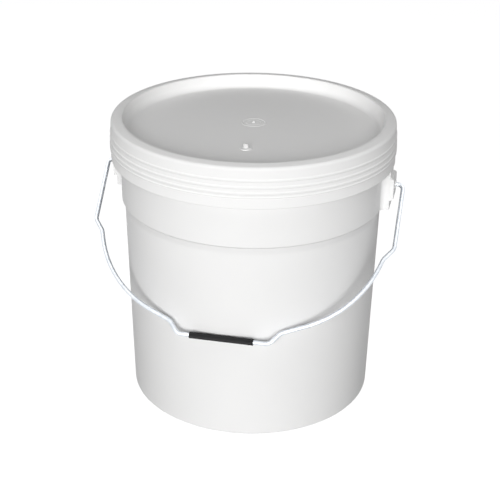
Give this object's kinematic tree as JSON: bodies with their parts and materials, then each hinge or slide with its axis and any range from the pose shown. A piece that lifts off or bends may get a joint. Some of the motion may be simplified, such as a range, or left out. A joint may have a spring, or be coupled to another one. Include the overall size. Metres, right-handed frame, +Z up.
{
  "type": "plastic bucket",
  "caption": "Round white plastic bucket with a recessed press-fit lid, side ears and a swinging wire bail with a black tube grip.",
  "frame": {"origin": "on the bucket's axis, in the plane of the foot ring that it stands on", "axes": "+Z up along the bucket's axis, +X along the pivot axis of the bail towards one ear, and the bail hangs towards -Y"},
  "size_m": [0.2882, 0.267, 0.2754],
  "materials": {
    "white_plastic": "satin moulded polyethylene",
    "seal_rubber": "matt",
    "zinc_wire": "bright zinc plate",
    "black_plastic": "satin moulded plastic"
  },
  "bodies": {
    "bucket": {"bucket": "white_plastic"},
    "lid": {"lid": "white_plastic", "lid_seal": "seal_rubber"},
    "bail": {"bail": "zinc_wire"},
    "grip": {"grip": "black_plastic"}
  },
  "joints": [
    {"name": "lid_lift", "type": "slide", "parent": "bucket", "child": "lid", "axis": [0, 0, 1], "range_m": [0, 0.12]},
    {"name": "bail_swing", "type": "hinge", "parent": "bucket", "child": "bail", "pos_m": [0, 0, 0.2183], "axis": [-1, 0, 0], "range_deg": [0, 265.2]},
    {"name": "grip_turn", "type": "hinge", "parent": "bail", "child": "grip", "pos_m": [0, -0.12332, 0.1048], "axis": [1, 0, 0], "continuous": true}
  ]
}
